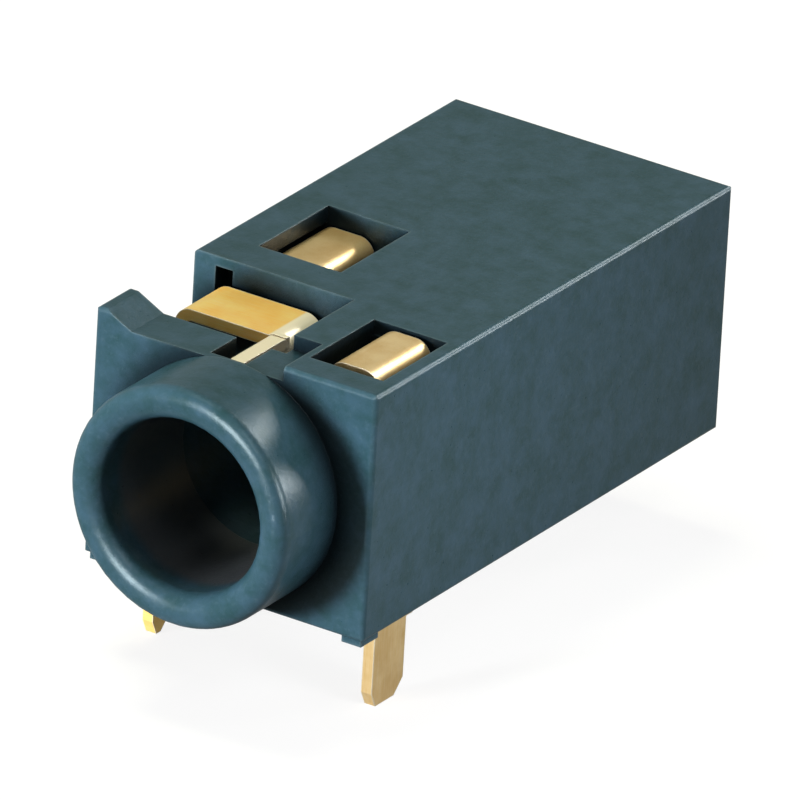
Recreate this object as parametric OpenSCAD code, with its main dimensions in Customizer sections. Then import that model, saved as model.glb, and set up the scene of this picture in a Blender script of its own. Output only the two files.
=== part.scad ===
// Miniature stereo plug socket for a circuit board, for a 3.5 mm plug.
// Millimetres. The origin lies on the plug axis, in the plane of the body's front face.
// X runs to the right seen from the nose, Y to the rear, Z up.

/* [Body] */
// Width of the moulded block
body_w = 6.5; // [6.3:0.1:8]
// Length of the block without the nose
body_l = 12.7; // [12.6:0.1:15]
// Plug axis to the top face
top_h = 2.7; // [2.65:0.05:3.2]
// Plug axis to the underside of the block
base_h = 2.55; // [2.45:0.05:3.2]
// Radius of the block's outer edges
edge_r = 0.1; // [0.05:0.01:0.25]
// Height of the standing pads under the corners
pad_h = 0.15; // [0.05:0.05:0.4]
// Width of a standing pad
pad_w = 0.45; // [0.3:0.05:0.5]
// Length of a standing pad
pad_l = 0.6; // [0.4:0.05:0.6]
// Distance of the rear pads from the block's sides
rear_pad_in = 0.3; // [0.25:0.05:0.6]

/* [Nose and bore] */
// Outside diameter of the nose
nose_d = 5; // [4.6:0.1:5.2]
// Length of the nose in front of the block
nose_l = 1.9; // [1.2:0.1:4]
// Radius of the nose's front edge
nose_edge_r = 0.28; // [0.1:0.01:0.3]
// Diameter of the guide bore for the plug
bore_d = 3.6; // [3.55:0.05:3.7]
// Radius of the rounded lead-in at the mouth
lead_r = 0.38; // [0.2:0.01:0.4]
// Diameter of the plug chamber behind the guide bore
chamber_d = 4; // [4:0.02:4.1]
// Depth of the plug chamber behind the front face
chamber_l = 12.1; // [11.9:0.05:12.2]

/* [Front wall and notch] */
// Thickness of the front wall
front_t = 1.1; // [1:0.05:1.2]
// Drop of the front wall's top between the corner post and the right shoulder
wall_drop = 0.3; // [0.22:0.01:0.32]
// Width of the corner post's flat top
post_w = 0.25; // [0.2:0.05:0.4]
// Width of the slope on the post's inner side
post_slope = 0.6; // [0.3:0.05:0.7]
// Plug axis to the right end of the lowered wall
drop_right = 1.1; // [0.9:0.05:1.15]
// Plug axis to the right wall of the notch
notch_right = 0.45; // [0.3:0.05:0.6]
// Front face to the rear wall of the notch
notch_rear = 3.45; // [3.45:0.05:3.7]
// Plug axis to the notch's open left floor
notch_floor = 1.3; // [1:0.05:1.4]
// Plug axis to the inner side of the plate's ledge
ledge_in = 1.35; // [1.2:0.05:1.5]
// Front face to the front end of the finger groove
groove_front = 0.2; // [0.15:0.01:0.22]
// Gap between the finger and its groove on the left
groove_gap = 0.2; // [0.1:0.05:0.25]
// Gap between the finger and its groove on the right
groove_open = 0.3; // [0.2:0.05:0.4]
// Depth of the relief pocket in the notch's rear wall
relief_l = 0.45; // [0.2:0.05:0.6]
// Roof thickness over the relief pocket
relief_roof = 0.22; // [0.15:0.01:0.3]

/* [Contact strip] */
// Thickness of the stamped strip
strip_t = 0.25; // [0.2:0.01:0.27]
// Outer bend radius of the strip
bend_r = 0.36; // [0.3:0.01:0.4]
// Height of the spring leaves
leaf_h = 1.2; // [0.8:0.05:1.4]
// Gap of a spring's rounded root in its seat
root_gap = 0.02; // [0.01:0.005:0.04]
// Side gap of a leg in its slot
slot_gap = 0.05; // [0.03:0.01:0.08]
// Gap above and below a leaf in its pocket
leaf_gap = 0.3; // [0.2:0.05:0.4]
// Plug axis to the crest of the ring and tip springs
crest_x = 1.55; // [1.5:0.01:1.6]
// Plug axis to the inner wall of the spring pockets
pocket_in = 1.65; // [1.62:0.01:1.68]
// Plug axis to the outer wall of the spring pockets
pocket_out = 2.75; // [2.7:0.01:2.8]

/* [Terminals] */
// Length of the terminals below the block
pin_l = 2.1; // [1.6:0.05:4]
// Width of the ring and tip terminals
pin_w = 1.1; // [0.9:0.05:1.1]
// Corner cut of a terminal's end
pin_cut = 0.3; // [0.1:0.05:0.4]
// Depth of the terminal's shoulder below the block
shoulder_l = 0.5; // [0.2:0.05:0.8]
// Extra width of the shoulder
shoulder_w = 0.22; // [0.1:0.01:0.22]

/* [Sleeve contact] */
// Plug axis to the outer face of the sleeve leg
sleeve_x = 2.7; // [2.68:0.01:2.75]
// Top face to the upper side of the sleeve plate
sleeve_drop = 0.52; // [0.5:0.01:0.55]
// Front face to the front edge of the plate
plate_front = 2; // [1.95:0.05:2.1]
// Front face to the rear edge of the plate
plate_rear = 3.35; // [3.2:0.05:3.38]
// Plug axis to the right edge of the plate and finger
finger_x = 0.18; // [0.15:0.01:0.25]
// Width of the finger
finger_w = 0.32; // [0.3:0.01:0.36]
// Front face to the middle of the finger's hairpin bend
hairpin_y = 0.64; // [0.62:0.01:0.7]
// Height between the two middle lines of the hairpin
hairpin_h = 0.34; // [0.3:0.01:0.36]
// Length of the finger's returned end
return_l = 0.3; // [0.2:0.05:0.4]
// Length of the plate's turned-down right edge
sleeve_lip = 0.4; // [0.38:0.01:0.42]
// Front edge of the plate to its turned-down edge
lip_relief = 0.2; // [0.16:0.01:0.3]
// Front face to the front edge of the sleeve terminal
sleeve_pin_y = 1.4; // [1.2:0.05:1.5]
// Width of the sleeve terminal
sleeve_pin_w = 0.6; // [0.55:0.05:0.9]

/* [Ring contact] */
// Plug axis to the outer face of the ring leg
ring_x = 2.65; // [2.6:0.01:2.7]
// Width of the ring saddle over its rib
ring_saddle_w = 1.15; // [1.1:0.01:1.2]
// Top face to the upper side of the ring saddle
ring_drop = 0.05; // [0.02:0.01:0.1]
// Front face to the front edge of the ring leg
ring_front = 1; // [0.95:0.05:1.1]
// Front face to the rear edge of the ring leg
ring_rear = 2.85; // [2.8:0.01:2.9]
// Front face to the crest of the ring spring
ring_crest_y = 5.7; // [5.5:0.05:6]
// Length of the ring spring from its crest to its free end
ring_tail_l = 1.2; // [1:0.05:1.4]
// Length of the ring saddle's inner lip
ring_lip = 0.65; // [0.5:0.05:0.7]
// Front face to the front edge of the ring terminal
ring_pin_y = 1.4; // [1.35:0.01:1.5]
// Left edge of the ring window
ring_win_x = 1.25; // [1.22:0.01:1.3]
// Front edge of the ring window
ring_win_y = 0.7; // [0.6:0.05:0.8]
// Right wall between the ring window and the block's side
ring_win_wall = 0.32; // [0.3:0.01:0.4]

/* [Tip contact] */
// Plug axis to the outer face of the tip leg
tip_x = 2.5; // [2.48:0.01:2.52]
// Width of the tip saddle over its rib
tip_saddle_w = 1.3; // [1.25:0.01:1.35]
// Top face to the upper side of the tip saddle
tip_drop = 0.4; // [0.35:0.01:0.42]
// Front face to the front edge of the tip leg
tip_front = 4.75; // [4.6:0.05:4.8]
// Front face to the rear edge of the tip leg
tip_rear = 6.75; // [6.7:0.01:6.8]
// Front face to the crest of the tip spring
tip_crest_y = 10.1; // [9.9:0.05:10.2]
// Length of the tip spring from its crest to its free end
tip_tail_l = 1.5; // [1.45:0.01:1.55]
// Plug axis to the middle of the tip spring's flat end
tip_end_x = 2.2; // [2.18:0.01:2.22]
// Length of the tip spring's flat end
tip_flat_l = 0.7; // [0.65:0.01:0.75]
// Length of the tip saddle's inner lip
tip_lip = 0.45; // [0.42:0.01:0.48]
// Front face to the front edge of the tip terminal
tip_pin_y = 5.3; // [5.2:0.05:5.4]
// Left edge of the tip window
tip_win_x = 2.35; // [2.3:0.01:2.4]
// Right edge of the tip window
tip_win_right = 0.45; // [0.4:0.01:0.5]
// Front edge of the tip window
tip_win_y = 4.35; // [4.3:0.01:4.4]

/* [Break contact] */
// Width of the break blade
break_w = 0.7; // [0.6:0.02:0.72]
// Height of the break blade above the plug axis
break_h = 0.55; // [0.4:0.05:0.6]
// Front edge of the break blade to the rear edge of its root
break_root_l = 1.35; // [1.25:0.05:1.4]
// Plug axis down to the top of the root
break_root_z = 1.4; // [1.3:0.05:1.6]
// Front edge of the break blade to the front edge of its terminal
break_pin_in = 0.35; // [0.2:0.05:0.5]

/* [Hidden] */
$fn = 64;
// Overcut of open cuts
over = 0.5;
half_w = body_w / 2;
half_t = strip_t / 2;
seat_r = half_t + root_gap;
root_l = seat_r + slot_gap;
bend_in = bend_r - strip_t;
pin_z = base_h + pin_l;
leaf_roof = leaf_h / 2 + leaf_gap;
sleeve_z = top_h - sleeve_drop;
ring_z = top_h - ring_drop;
tip_z = top_h - tip_drop;
ring_rib_in = ring_x - ring_saddle_w + strip_t + slot_gap;
ring_slot_x = ring_x - strip_t - slot_gap;
ring_win_rear = ring_rear + slot_gap * 2;
tip_slot_x = tip_x - strip_t - slot_gap;
tip_rib_in = tip_x - tip_saddle_w + strip_t + slot_gap;
tip_win_rear = tip_rear + slot_gap;
sleeve_slot_x = sleeve_x - strip_t - slot_gap;
// Height of the chamber crown that a cut must reach below
open_z = base_h / 4;
// Front face to the free ends of the springs and the ends of their pockets
ring_end_y = ring_crest_y + ring_tail_l;
tip_end_y = tip_crest_y + tip_tail_l;
ring_pocket_y = ring_rear - root_l;
ring_pocket_end = ring_end_y + leaf_gap + half_t;
tip_pocket_y = tip_rear - root_l;
tip_pocket_end = tip_end_y + leaf_gap + half_t;
// Lead of a spring into its crest, as lengths along the plug axis
crest_lead = 0.8;
crest_rise = 0.12;
// Middle lines of the two side springs, as X and Y
ring_path = [
    [ring_x - half_t, ring_rear],
    [crest_x + half_t + crest_rise, ring_crest_y - crest_lead],
    [crest_x + half_t, ring_crest_y],
    [ring_x - strip_t - half_t, ring_end_y]
];
tip_path = [
    [-tip_x + half_t, tip_rear],
    [-crest_x - half_t - crest_rise, tip_crest_y - crest_lead],
    [-crest_x - half_t, tip_crest_y],
    [-tip_end_x, tip_end_y - tip_flat_l],
    [-tip_end_x, tip_end_y]
];
break_x = pocket_in;
// Break blade in the middle of the tip spring's flat end
break_y = tip_end_y - (tip_flat_l + break_w) / 2;
break_root_y = break_y + break_root_l;
break_pin_y = break_y + break_pin_in;
break_bead = tip_end_x - half_t - break_x - strip_t;

// Box between two corners
module box(a, b) {
    translate(a) cube(b - a);
}

// Draws a profile of X and Z along Y, from Y = 0
module along_y(l) {
    rotate([90, 0, 0]) translate([0, 0, -l]) linear_extrude(l) children();
}

// Draws a profile of Y and Z along X, from X = 0
module along_x(l) {
    rotate([90, 0, 90]) linear_extrude(l) children();
}

// Rectangle between two corners with rounded corners
module round_rect(a, b, r) {
    translate([a[0] + r, a[1]]) square([b[0] - a[0] - 2 * r, b[1] - a[1]]);
    translate([a[0], a[1] + r]) square([b[0] - a[0], b[1] - a[1] - 2 * r]);
    for (x = [a[0] + r, b[0] - r], y = [a[1] + r, b[1] - r])
        translate([x, y]) circle(r);
}

// Quarter of a strip bend, its outer corner at the origin, opening to +X and -Y
module bend() {
    intersection() {
        translate([bend_r, -bend_r]) difference() {
            circle(bend_r);
            circle(bend_r - strip_t);
        }
        translate([0, -bend_r]) square(bend_r);
    }
}

// Strip of a straight leg, a bend and a web that ends at X = w, top outer corner at the origin
module angle_strip(w, leg) {
    bend();
    translate([0, -leg]) square([strip_t, leg - bend_r]);
    translate([bend_r, -strip_t]) square([w - bend_r, strip_t]);
}

// Strip bent over a rib: a leg, a web and an inner lip
module saddle_strip(w, leg, lip) {
    bend();
    translate([w, 0]) mirror([1, 0]) bend();
    translate([0, -leg]) square([strip_t, leg - bend_r]);
    translate([bend_r, -strip_t]) square([w - 2 * bend_r, strip_t]);
    translate([w - strip_t, -lip]) square([strip_t, lip - bend_r]);
}

// Strip along a middle line with rounded bends
module path_strip(p) {
    for (i = [0 : len(p) - 2]) {
        d = p[i + 1] - p[i];
        translate(p[i]) rotate(atan2(d[1], d[0])) translate([0, -half_t]) square([norm(d), strip_t]);
    }
    for (q = p)
        translate(q) circle(half_t);
}

// Flat outline of a leg with its terminal, as Y and Z
module leg_outline(front, rear, top, pin_y, w) {
    pin_rear = pin_y + w;
    shoulder_y = pin_rear + shoulder_w;
    polygon([
        [front, top], [front, -base_h], [pin_y, -base_h],
        [pin_y, pin_cut - pin_z], [pin_y + pin_cut / 2, -pin_z],
        [pin_rear - pin_cut, -pin_z], [pin_rear, pin_cut - pin_z],
        [pin_rear, -base_h - shoulder_l], [shoulder_y, -base_h - shoulder_l],
        [shoulder_y, -base_h], [rear, -base_h], [rear, top]
    ]);
}

// Block with rounded edges
module block() {
    intersection() {
        along_y(body_l) round_rect([-half_w, -base_h], [half_w, top_h], edge_r);
        translate([0, 0, -base_h]) linear_extrude(base_h + top_h)
            round_rect([-half_w, 0], [half_w, body_l], edge_r);
        translate([-half_w, 0, 0]) along_x(body_w)
            round_rect([0, -base_h], [body_l, top_h], edge_r);
    }
}

// Nose with a rounded front edge, overlapping the block by the front wall
module nose() {
    rotate([90, 0, 0]) translate([0, 0, -front_t]) rotate_extrude() {
        square([nose_d / 2, nose_l + front_t - nose_edge_r]);
        square([nose_d / 2 - nose_edge_r, nose_l + front_t]);
        translate([nose_d / 2 - nose_edge_r, nose_l + front_t - nose_edge_r]) circle(nose_edge_r);
    }
}

// Rounded lead-in, guide bore and plug chamber
module plug_way() {
    mouth = bore_d / 2 + lead_r;
    rotate([90, 0, 0]) rotate_extrude() {
        polygon([
            [0, nose_l], [bore_d / 2, nose_l], [bore_d / 2, -front_t],
            [chamber_d / 2, -front_t], [chamber_d / 2, -chamber_l], [0, -chamber_l]
        ]);
        translate([0, nose_l - lead_r]) difference() {
            square([mouth, lead_r + over]);
            translate([mouth, 0]) circle(lead_r);
        }
    }
}

// Lowered wall top, notch, ledge, finger groove and slot of the sleeve contact
module sleeve_cuts() {
    slope_x = -half_w + post_w;
    low_x = slope_x + post_slope;
    along_y(front_t + strip_t) polygon([
        [slope_x, top_h], [low_x, top_h - wall_drop], [drop_right, top_h - wall_drop],
        [drop_right, top_h + over], [slope_x, top_h + over]
    ]);
    box([-ledge_in, front_t, open_z], [notch_right, notch_rear, top_h + over]);
    box([-sleeve_slot_x - over, front_t, sleeve_z - strip_t], [-ledge_in, notch_rear, top_h + over]);
    box([-half_w - over, front_t, notch_floor], [-sleeve_slot_x, notch_rear, top_h + over]);
    box([-sleeve_x, front_t, sleeve_z - strip_t - bend_in], [-sleeve_slot_x + bend_in, notch_rear, sleeve_z]);
    box([-sleeve_x, sleeve_pin_y - slot_gap, -base_h - over], [-sleeve_slot_x, notch_rear, notch_floor + over]);
    box([-finger_x - finger_w - groove_gap, groove_front, open_z],
        [-finger_x + groove_open, front_t + strip_t, top_h + over]);
    box([-sleeve_x - slot_gap, notch_rear - strip_t, notch_floor],
        [-sleeve_slot_x + slot_gap, notch_rear + relief_l, top_h - relief_roof]);
}

// Window, lip slot, leg slot and spring pocket of the ring contact
module ring_cuts() {
    floor_z = ring_z - strip_t;
    front_y = ring_front - slot_gap;
    rear_y = ring_rear + slot_gap;
    lip_x = ring_x - ring_saddle_w - slot_gap;
    box([ring_win_x, ring_win_y, floor_z], [half_w - ring_win_wall, ring_win_rear, top_h + over]);
    box([ring_win_x, front_y, ring_z - ring_lip - slot_gap], [ring_rib_in, rear_y, top_h]);
    box([lip_x, front_y, floor_z - bend_in], [ring_rib_in + bend_in, rear_y, top_h]);
    box([ring_slot_x - bend_in, front_y, floor_z - bend_in], [ring_x, rear_y, top_h]);
    box([ring_slot_x, front_y, -base_h - over], [ring_x, rear_y, floor_z]);
    box([pocket_in, ring_pocket_y, -base_h - over], [pocket_out, ring_pocket_end, leaf_roof]);
}

// Window, leg slot and spring pocket of the tip contact
module tip_cuts() {
    floor_z = tip_z - strip_t;
    front_y = tip_front - slot_gap;
    rear_y = tip_rear + slot_gap;
    box([-tip_win_x, tip_win_y, floor_z], [-tip_rib_in, tip_win_rear, top_h + over]);
    box([-tip_rib_in, tip_win_y, open_z], [-tip_win_right, tip_win_rear, top_h + over]);
    box([-tip_x, front_y, floor_z], [-tip_win_x + slot_gap, rear_y, tip_z + slot_gap]);
    box([-tip_x, front_y, floor_z - bend_in], [-tip_slot_x + bend_in, rear_y, tip_z]);
    box([-tip_rib_in - bend_in, front_y, floor_z - bend_in], [-tip_rib_in + bend_in, rear_y, tip_z]);
    box([-tip_x, front_y, -base_h - over], [-tip_slot_x, rear_y, floor_z]);
    box([-pocket_out, tip_pocket_y, -base_h - over], [-pocket_in, tip_pocket_end, leaf_roof]);
}

// Slot for the root of the break contact, behind the tip spring's pocket
module break_cuts() {
    box([-break_x - strip_t - slot_gap, tip_pocket_end - over, -base_h - over],
        [-break_x, break_root_y + slot_gap, slot_gap - break_root_z]);
}

// Pair of standing pads, as far in from the block's sides as inset says
module pad_pair(inset, y) {
    for (x = [-half_w + inset, half_w - inset - pad_w])
        translate([x, y, -base_h - pad_h]) cube([pad_w, pad_l, pad_h + edge_r]);
}

// Moulded body: block, nose, plug chamber, contact pockets and windows
module housing() {
    color([0.13, 0.17, 0.18]) difference() {
        union() {
            block();
            nose();
            pad_pair(edge_r, edge_r);
            pad_pair(rear_pad_in, body_l - edge_r - pad_l);
        }
        plug_way();
        sleeve_cuts();
        ring_cuts();
        tip_cuts();
        break_cuts();
    }
}

// Fixed part of the sleeve contact: terminal, leg and cross plate
module sleeve_terminal() {
    plate_w = sleeve_x - finger_x;
    leg = sleeve_z - notch_floor + strip_t;
    color([0.83, 0.64, 0.31]) difference() {
        union() {
            translate([-sleeve_x, plate_front, sleeve_z]) along_y(lip_relief)
                angle_strip(plate_w, leg);
            translate([-sleeve_x, plate_front + lip_relief, sleeve_z])
                along_y(plate_rear - plate_front - lip_relief) saddle_strip(plate_w, leg, sleeve_lip);
            translate([-sleeve_x, 0, 0]) along_x(strip_t)
                leg_outline(sleeve_pin_y, plate_rear, notch_floor, sleeve_pin_y, sleeve_pin_w);
        }
        translate([-finger_x - finger_w - root_gap, plate_front, sleeve_z - half_t])
            rotate([0, 90, 0]) cylinder(r = seat_r, h = finger_w + root_gap + over);
    }
}

// Sprung finger of the sleeve contact with its hairpin end
module sleeve_spring() {
    r = hairpin_h / 2;
    z = sleeve_z - half_t;
    color([0.85, 0.68, 0.36]) translate([-finger_x - finger_w, 0, 0]) along_x(finger_w) {
        path_strip([[plate_front, z], [hairpin_y, z]]);
        path_strip([[hairpin_y, z - hairpin_h], [hairpin_y + return_l, z - hairpin_h]]);
        intersection() {
            translate([hairpin_y, z - r]) difference() {
                circle(r + half_t);
                circle(r - half_t);
            }
            translate([hairpin_y - r - strip_t, z - r - strip_t - half_t])
                square([r + strip_t, hairpin_h + strip_t * 2]);
        }
    }
}

// Fixed part of the ring contact: terminal, leg and saddle
module ring_terminal() {
    color([0.83, 0.64, 0.31]) difference() {
        union() {
            translate([ring_x, ring_front, ring_z]) mirror([1, 0, 0]) along_y(ring_rear - ring_front)
                saddle_strip(ring_saddle_w, bend_r + strip_t, ring_lip);
            translate([ring_x - strip_t, 0, 0]) along_x(strip_t)
                leg_outline(ring_front, ring_rear, ring_z - bend_r, ring_pin_y, pin_w);
        }
        translate([ring_x - half_t, ring_rear, -leaf_h / 2 - root_gap])
            cylinder(r = seat_r, h = leaf_h + root_gap * 2);
    }
}

// Sprung leaf of the ring contact
module ring_spring() {
    color([0.85, 0.68, 0.36]) translate([0, 0, -leaf_h / 2]) linear_extrude(leaf_h) path_strip(ring_path);
}

// Fixed part of the tip contact: terminal, leg and saddle
module tip_terminal() {
    color([0.83, 0.64, 0.31]) difference() {
        union() {
            translate([-tip_x, tip_front, tip_z]) along_y(tip_rear - tip_front)
                saddle_strip(tip_saddle_w, bend_r + strip_t, tip_lip);
            translate([-tip_x, 0, 0]) along_x(strip_t)
                leg_outline(tip_front, tip_rear, tip_z - bend_r, tip_pin_y, pin_w);
        }
        translate([-tip_x + half_t, tip_rear, -leaf_h / 2 - root_gap])
            cylinder(r = seat_r, h = leaf_h + root_gap * 2);
    }
}

// Sprung leaf of the tip contact
module tip_spring() {
    color([0.85, 0.68, 0.36]) translate([0, 0, -leaf_h / 2]) linear_extrude(leaf_h) path_strip(tip_path);
}

// Fixed break contact that the tip spring rests on
module break_terminal() {
    color([0.83, 0.64, 0.31]) {
        translate([-break_x - strip_t, 0, 0]) along_x(strip_t) polygon([
            [break_y, break_h], [break_y, -base_h], [break_pin_y, -base_h],
            [break_pin_y, pin_cut - pin_z], [break_pin_y + pin_cut / 2, -pin_z],
            [break_pin_y + break_w - pin_cut / 2, -pin_z], [break_pin_y + break_w, pin_cut - pin_z],
            [break_pin_y + break_w, -base_h], [break_root_y, -base_h], [break_root_y, -break_root_z],
            [break_y + break_w, -break_root_z], [break_y + break_w, break_h]
        ]);
        translate([-break_x - strip_t, break_y + break_w / 2, -leaf_h / 2])
            cylinder(r = break_bead, h = leaf_h / 2 + break_h);
    }
}

housing();
sleeve_terminal();
sleeve_spring();
ring_terminal();
ring_spring();
tip_terminal();
tip_spring();
break_terminal();
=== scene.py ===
import math

import bpy
from mathutils import Matrix, Vector


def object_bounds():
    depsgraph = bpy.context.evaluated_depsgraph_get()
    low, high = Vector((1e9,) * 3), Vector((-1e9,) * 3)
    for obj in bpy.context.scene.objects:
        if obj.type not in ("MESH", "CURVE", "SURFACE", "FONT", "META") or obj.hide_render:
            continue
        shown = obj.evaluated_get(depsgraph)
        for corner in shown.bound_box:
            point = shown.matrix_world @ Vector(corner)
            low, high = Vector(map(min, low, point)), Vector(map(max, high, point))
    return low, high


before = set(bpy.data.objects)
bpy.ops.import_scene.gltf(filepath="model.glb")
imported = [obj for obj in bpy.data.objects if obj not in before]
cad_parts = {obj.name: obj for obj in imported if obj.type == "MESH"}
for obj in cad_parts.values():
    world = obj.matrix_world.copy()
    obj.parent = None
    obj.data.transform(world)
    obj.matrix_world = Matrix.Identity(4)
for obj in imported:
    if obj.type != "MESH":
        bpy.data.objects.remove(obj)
cad_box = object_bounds()

MM = 0.001

# Camera fitted to the photograph
IMAGE_PX = 800
PX_PER_MM = 51.35
AZIMUTH = math.radians(31.86)
ELEVATION = math.radians(24.92)
ROLL = math.radians(3.357)
DISTANCE = 532 * MM
SENSOR_MM = 36
BODY_CENTRE = Vector((0, 6.37, 0.10)) * MM
BODY_CENTRE_PX = (410.15, 366.19)

# Floor and light levels, where 1 is white
FLOOR_SIZE = 4.0
FLOOR_TONE = 0.16
FLOOR_GLOW = 0.86
FLOOR_MIRRORED = 0.14
SKY_SHOWN = 1.0
SKY_MIRRORED = 0.34
SKY_LIGHT = 0.06
LAMP_DISTANCE = 0.2

# Plug way of the housing, for the painted shade on its inside
NOSE_LENGTH = 1.9 * MM
BORE_RADIUS = 1.8 * MM
CHAMBER_LENGTH = 12.1 * MM

# Moulded plastic
PLASTIC_DEEP = (0.014, 0.043, 0.052)
PLASTIC_PALE = (0.029, 0.066, 0.097)
PLASTIC_SPECK = (0.045, 0.085, 0.11)
# Paler edges, partly from wear and partly a painted edge highlight
PLASTIC_EDGE_WEAR_AND_HIGHLIGHT = (0.12, 0.17, 0.19)
# Painted shade in pockets, inner corners and beside the nose
PLASTIC_PAINTED_SHADE = (0.005, 0.01, 0.014)
# Painted shade on the inside of the plug way
PLASTIC_BORE_SHADE = (0.05, 0.056, 0.062)
PLASTIC_SHINE = (0.8, 0.95, 1, 1)
PLASTIC_ROUND = 0.035 * MM
CLOUD_SIZE = 0.5 * MM
GRAIN_SIZE = 0.1 * MM
GRAIN_DEPTH = 0.012 * MM
EDGE_WEAR_AND_HIGHLIGHT_REACH = 0.06 * MM
# Reach of the painted shade in pockets and corners
PAINTED_SHADE_REACH = 1.2 * MM

# Gold plating
SLEEVE_DEEP = (0.98, 0.56, 0.10)
SLEEVE_PALE = (1.0, 0.69, 0.19)
CONTACT_DEEP = (0.78, 0.52, 0.20)
CONTACT_PALE = (0.92, 0.68, 0.33)
PLATING_LINE = (0.95, 0.84, 0.6)
# Painted pale highlight on the right part of the sleeve plating
PLATING_PAINTED_HIGHLIGHT = (0.97, 0.93, 0.78)
PLATING_EDGE = (0.96, 0.88, 0.7)
PLATING_ROUND = 0.025 * MM
STAIN_SIZE = 0.7 * MM
LINE_WIDTH = 0.02 * MM
LINE_DEPTH = 0.006 * MM
LINE_STRETCH = 30
BRIGHT_EDGE = 0.03 * MM
HIGHLIGHT_FADE = 0.05 * MM
# X from which the sleeve plating carries the painted highlight
SLEEVE_HIGHLIGHT_FROM = -0.52 * MM


# Node helpers


def new_material(name):
    """An empty node material with its Principled shader."""
    material = bpy.data.materials.new(name)
    material.use_nodes = True
    tree = material.node_tree
    return material, tree, tree.nodes["Principled BSDF"]


def link(tree, socket, target):
    """Links an output socket to an input socket."""
    tree.links.new(socket, target)


def add(tree, kind, inputs=None, **settings):
    """Adds a node. An input is a value, or a socket to link from."""
    node = tree.nodes.new(kind)
    for key, value in settings.items():
        setattr(node, key, value)
    for key, value in (inputs or {}).items():
        if isinstance(value, bpy.types.NodeSocket):
            link(tree, value, node.inputs[key])
        else:
            node.inputs[key].default_value = value
    return node


def product(tree, first, second):
    """Multiplies two values."""
    return add(tree, "ShaderNodeMath", {0: first, 1: second}, operation="MULTIPLY").outputs[0]


def spread(tree, value, low, high, to_low=0.0, to_high=1.0):
    """Maps a value from low..high to to_low..to_high, clamped."""
    return add(tree, "ShaderNodeMapRange", {
        "Value": value, "From Min": low, "From Max": high, "To Min": to_low, "To Max": to_high,
    }).outputs["Result"]


def object_axes(tree):
    """X, Y and Z of the point in the part's frame."""
    place = add(tree, "ShaderNodeTexCoord").outputs["Object"]
    return add(tree, "ShaderNodeSeparateXYZ", {0: place}).outputs


def noise(tree, feature, stretch=(1, 1, 1), detail=3.0, rough=0.55):
    """Noise with features of that size in metres, longer along the axes that stretch names."""
    place = add(tree, "ShaderNodeTexCoord").outputs["Object"]
    if tuple(stretch) != (1, 1, 1):
        scale = [1 / s for s in stretch]
        place = add(tree, "ShaderNodeMapping", {"Vector": place, "Scale": scale}).outputs["Vector"]
    return add(tree, "ShaderNodeTexNoise", {
        "Vector": place, "Scale": 1 / feature, "Detail": detail, "Roughness": rough,
    }).outputs["Fac"]


def blend_colours(tree, share, first, second):
    """Mixes two colours, from first at share 0 to second at share 1."""
    node = add(tree, "ShaderNodeMix", data_type="RGBA")
    sockets = {s.identifier: s for s in node.inputs}
    link(tree, share, sockets["Factor_Float"])
    for key, value in (("A_Color", first), ("B_Color", second)):
        if isinstance(value, bpy.types.NodeSocket):
            link(tree, value, sockets[key])
        else:
            sockets[key].default_value = (*value, 1)
    return next(s for s in node.outputs if s.identifier == "Result_Color")


def edge_mask(tree, reach):
    """1 on outer edges within that reach, 0 on flats and in inner corners."""
    inside = add(tree, "ShaderNodeAmbientOcclusion", {"Distance": reach}, inside=True, samples=8)
    return spread(tree, inside.outputs["AO"], 0.95, 0.55)


def painted_shade_mask(tree, reach):
    """1 deep in pockets and inner corners within that reach, 0 on open faces: where painted shade goes.
    """
    around = add(tree, "ShaderNodeAmbientOcclusion", {"Distance": reach}, samples=8)
    return spread(tree, around.outputs["AO"], 0.86, 0.6)


def bore_mask(tree):
    """1 on the wall of the plug way, where its painted shade goes, fading in over its rounded mouth."""
    x, y, z = object_axes(tree)
    across = add(tree, "ShaderNodeCombineXYZ", {"X": x, "Z": z}).outputs[0]
    radius = add(tree, "ShaderNodeVectorMath", {0: across}, operation="LENGTH").outputs["Value"]
    within = spread(tree, radius, BORE_RADIUS * 1.12, BORE_RADIUS * 1.04)
    behind_mouth = spread(tree, y, -NOSE_LENGTH * 0.66, -NOSE_LENGTH * 0.5)
    before_end = spread(tree, y, CHAMBER_LENGTH * 1.03, CHAMBER_LENGTH * 1.01)
    return product(tree, within, product(tree, behind_mouth, before_end))


def seen_share(tree, shown, mirrored, lit):
    """shown for camera and transmission rays, mirrored for glossy rays, lit for the rest."""
    path = add(tree, "ShaderNodeLightPath").outputs
    seen = add(tree, "ShaderNodeMath", {0: path["Is Camera Ray"], 1: path["Is Transmission Ray"]},
               operation="MAXIMUM").outputs[0]
    unseen = spread(tree, path["Is Glossy Ray"], 0, 1, lit, mirrored)
    return spread(tree, seen, 0, 1, unseen, shown)


# Materials


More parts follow.
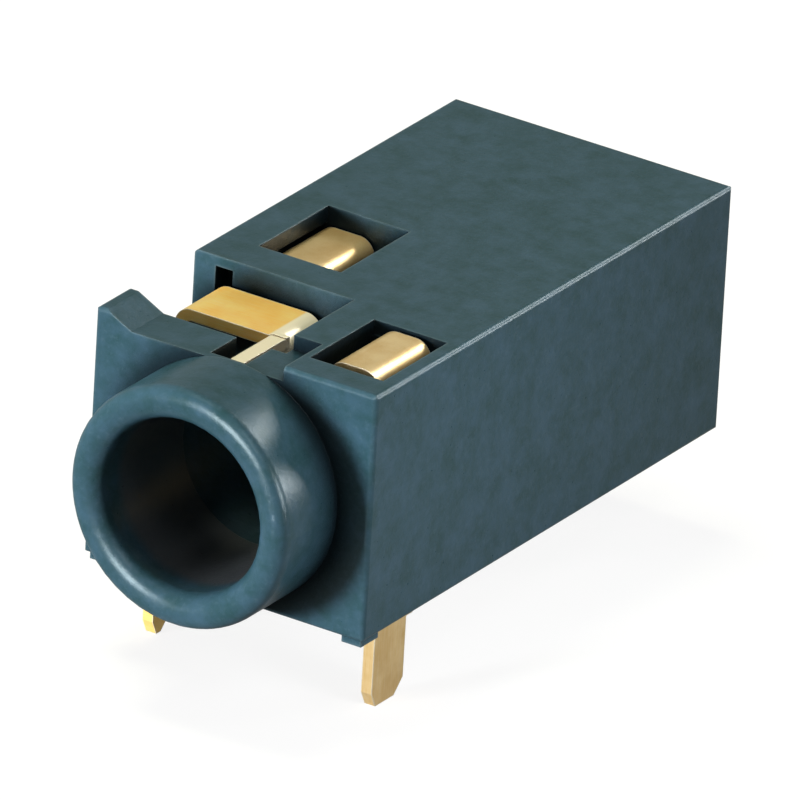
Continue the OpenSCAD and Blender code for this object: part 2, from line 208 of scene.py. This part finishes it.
def moulded_plastic():
    """Satin dark teal moulding with a spark-eroded grain, cloudy tone, edges paler from wear and a
    painted highlight, painted shade in recesses and in the plug way.
    """
    material, tree, shader = new_material("moulding")
    cloud = spread(tree, noise(tree, CLOUD_SIZE, detail=6, rough=0.7), 0.34, 0.68)
    grain = noise(tree, GRAIN_SIZE, detail=5, rough=0.65)
    specks = spread(tree, grain, 0.54, 0.72, 0, 0.5)
    edges = product(tree, edge_mask(tree, EDGE_WEAR_AND_HIGHLIGHT_REACH), 0.35)
    # Painted shade in pockets and inner corners; it also damps the sheen there
    painted_shade = painted_shade_mask(tree, PAINTED_SHADE_REACH)
    tone = blend_colours(tree, cloud, PLASTIC_DEEP, PLASTIC_PALE)
    tone = blend_colours(tree, specks, tone, PLASTIC_SPECK)
    # Paler edges: partly wear, partly painted highlight
    tone = blend_colours(tree, edges, tone, PLASTIC_EDGE_WEAR_AND_HIGHLIGHT)
    tone = blend_colours(tree, painted_shade, tone, PLASTIC_PAINTED_SHADE)
    # Painted shade inside the plug way
    tone = blend_colours(tree, bore_mask(tree), tone, PLASTIC_BORE_SHADE)
    link(tree, tone, shader.inputs["Base Color"])
    link(tree, spread(tree, grain, 0.3, 0.7, 0.27, 0.36), shader.inputs["Roughness"])
    link(tree, spread(tree, painted_shade, 0, 1, 0.35, 0.04), shader.inputs["Specular IOR Level"])
    rounded = add(tree, "ShaderNodeBevel", {"Radius": PLASTIC_ROUND}, samples=6).outputs["Normal"]
    bump = add(tree, "ShaderNodeBump", {
        "Height": grain, "Strength": 0.45, "Distance": GRAIN_DEPTH, "Normal": rounded,
    })
    link(tree, bump.outputs["Normal"], shader.inputs["Normal"])
    shader.inputs["Specular Tint"].default_value = PLASTIC_SHINE
    return material


def plated_metal(name, deep, pale, rolled, mirror, highlight_from=None):
    """Gold-plated strip with rolling lines, stained tone and bright edges.

    rolled stretches the lines along their axis, mirror is the mirroring share, and beyond the X
    that the last argument gives, the plating carries a painted highlight.
    """
    material, tree, shader = new_material(name)
    stain = spread(tree, noise(tree, STAIN_SIZE, detail=3), 0.38, 0.66)
    lines = noise(tree, LINE_WIDTH, stretch=rolled, detail=2)
    tone = blend_colours(tree, stain, deep, pale)
    tone = blend_colours(tree, spread(tree, lines, 0.35, 0.75, 0.0, 0.3), tone, PLATING_LINE)
    if highlight_from is not None:
        # Painted highlight from that X on
        painted_highlight = spread(tree, object_axes(tree)["X"], highlight_from - HIGHLIGHT_FADE, highlight_from, 0, 0.8)
        tone = blend_colours(tree, painted_highlight, tone, PLATING_PAINTED_HIGHLIGHT)
    tone = blend_colours(tree, edge_mask(tree, BRIGHT_EDGE), tone, PLATING_EDGE)
    link(tree, tone, shader.inputs["Base Color"])
    link(tree, spread(tree, lines, 0.3, 0.7, 0.3, 0.42), shader.inputs["Roughness"])
    rounded = add(tree, "ShaderNodeBevel", {"Radius": PLATING_ROUND}, samples=6).outputs["Normal"]
    bump = add(tree, "ShaderNodeBump", {
        "Height": lines, "Strength": 0.15, "Distance": LINE_DEPTH, "Normal": rounded,
    })
    link(tree, bump.outputs["Normal"], shader.inputs["Normal"])
    shader.inputs["Metallic"].default_value = mirror
    return material


def floor_surface():
    """Pale floor that the camera sees as white, apart from the object's shadow."""
    material, tree, shader = new_material("floor")
    tree.nodes.remove(shader)
    diffuse = add(tree, "ShaderNodeBsdfDiffuse", {"Color": (FLOOR_TONE, FLOOR_TONE, FLOOR_TONE, 1)})
    level = seen_share(tree, FLOOR_GLOW, FLOOR_MIRRORED, 0)
    glow = add(tree, "ShaderNodeEmission", {"Strength": level})
    both = add(tree, "ShaderNodeAddShader", {0: diffuse.outputs[0], 1: glow.outputs[0]})
    link(tree, both.outputs[0], tree.nodes["Material Output"].inputs["Surface"])
    return material


def dress(nodes, material):
    """Gives the named CAD nodes that material."""
    for name in nodes:
        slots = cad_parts[name].data.materials
        slots.clear()
        slots.append(material)


# Stage


def make_world():
    """White surroundings that give little light of their own."""
    world = bpy.data.worlds.new("studio")
    world.use_nodes = True
    tree = world.node_tree
    sky = tree.nodes["Background"]
    sky.inputs["Color"].default_value = (1, 1, 1, 1)
    link(tree, seen_share(tree, SKY_SHOWN, SKY_MIRRORED, SKY_LIGHT), sky.inputs["Strength"])
    bpy.context.scene.world = world


def make_floor(height):
    """Square floor at that height."""
    mesh = bpy.data.meshes.new("floor")
    half = FLOOR_SIZE / 2
    corners = [(-half, -half, height), (half, -half, height), (half, half, height), (-half, half, height)]
    mesh.from_pydata(corners, [], [(0, 1, 2, 3)])
    floor = bpy.data.objects.new("floor", mesh)
    floor.data.materials.append(floor_surface())
    bpy.context.scene.collection.objects.link(floor)


def direction(azimuth, elevation):
    """Unit vector from the object, with azimuth 0 in front of the nose and 90 at the right."""
    return Vector((
        math.sin(azimuth) * math.cos(elevation),
        -math.cos(azimuth) * math.cos(elevation),
        math.sin(elevation),
    ))


def make_lamp(name, azimuth, elevation, radiance, size, distance=LAMP_DISTANCE, colour=(1, 1, 1),
              lights=True, mirrored=True):
    """Square soft light of that radiance that faces the object.

    lights and mirrored say whether matt surfaces and reflections take it up.
    """
    lamp = bpy.data.lights.new(name, "AREA")
    lamp.size = size
    lamp.color = colour
    lamp.energy = radiance * math.pi * size * size
    holder = bpy.data.objects.new(name, lamp)
    towards = direction(math.radians(azimuth), math.radians(elevation))
    holder.location = BODY_CENTRE + towards * distance
    holder.rotation_euler = towards.to_track_quat("Z", "Y").to_euler()
    holder.visible_camera = False
    holder.visible_diffuse = lights
    holder.visible_glossy = mirrored
    bpy.context.scene.collection.objects.link(holder)


def make_camera():
    """Camera at the photograph's angle, with the block's centre at its place in the picture."""
    back = direction(AZIMUTH, ELEVATION)
    level = Vector((math.cos(AZIMUTH), math.sin(AZIMUTH), 0))
    upright = back.cross(level)
    right = level * math.cos(ROLL) + upright * math.sin(ROLL)
    up = upright * math.cos(ROLL) - level * math.sin(ROLL)
    mm_per_px = MM / PX_PER_MM
    shift_right = (IMAGE_PX / 2 - BODY_CENTRE_PX[0]) * mm_per_px
    shift_up = (BODY_CENTRE_PX[1] - IMAGE_PX / 2) * mm_per_px
    aim = BODY_CENTRE + right * shift_right + up * shift_up
    camera = bpy.data.cameras.new("camera")
    camera.sensor_width = SENSOR_MM
    camera.lens = SENSOR_MM * DISTANCE / (IMAGE_PX * mm_per_px)
    camera.clip_start = DISTANCE / 10
    camera.clip_end = DISTANCE * 10
    holder = bpy.data.objects.new("camera", camera)
    turn = Matrix((right, up, back)).transposed().to_4x4()
    holder.matrix_world = Matrix.Translation(aim + back * DISTANCE) @ turn
    bpy.context.scene.collection.objects.link(holder)
    bpy.context.scene.camera = holder


# The dressed part on its stage

dress(["housing"], moulded_plastic())
dress(["sleeve_terminal", "sleeve_spring"],
      plated_metal("sleeve_plating", SLEEVE_DEEP, SLEEVE_PALE, rolled=(LINE_STRETCH, 1, 1),
                   mirror=0.35, highlight_from=SLEEVE_HIGHLIGHT_FROM))
dress(["ring_terminal", "ring_spring", "tip_terminal", "tip_spring", "break_terminal"],
      plated_metal("contact_plating", CONTACT_DEEP, CONTACT_PALE, rolled=(1, 1, LINE_STRETCH),
                   mirror=0.7))

make_world()
make_floor(cad_box[0].z)
make_lamp("key", azimuth=-25, elevation=4, radiance=180, size=0.04, mirrored=False)
make_lamp("front", azimuth=-2, elevation=18, radiance=28, size=0.09, lights=False)
make_lamp("overhead", azimuth=-80, elevation=76, radiance=19.5, size=0.08, colour=(1, 1, 0.76),
          mirrored=False)
make_lamp("high right", azimuth=51, elevation=50, radiance=6, size=0.05)
make_lamp("near right", azimuth=70, elevation=12, radiance=21, size=0.005, distance=0.018)
make_lamp("back", azimuth=141, elevation=9, radiance=20, size=0.05)
make_lamp("high back", azimuth=158, elevation=33, radiance=14, size=0.06, lights=False)
make_camera()
bpy.context.scene.view_settings.view_transform = "Standard"
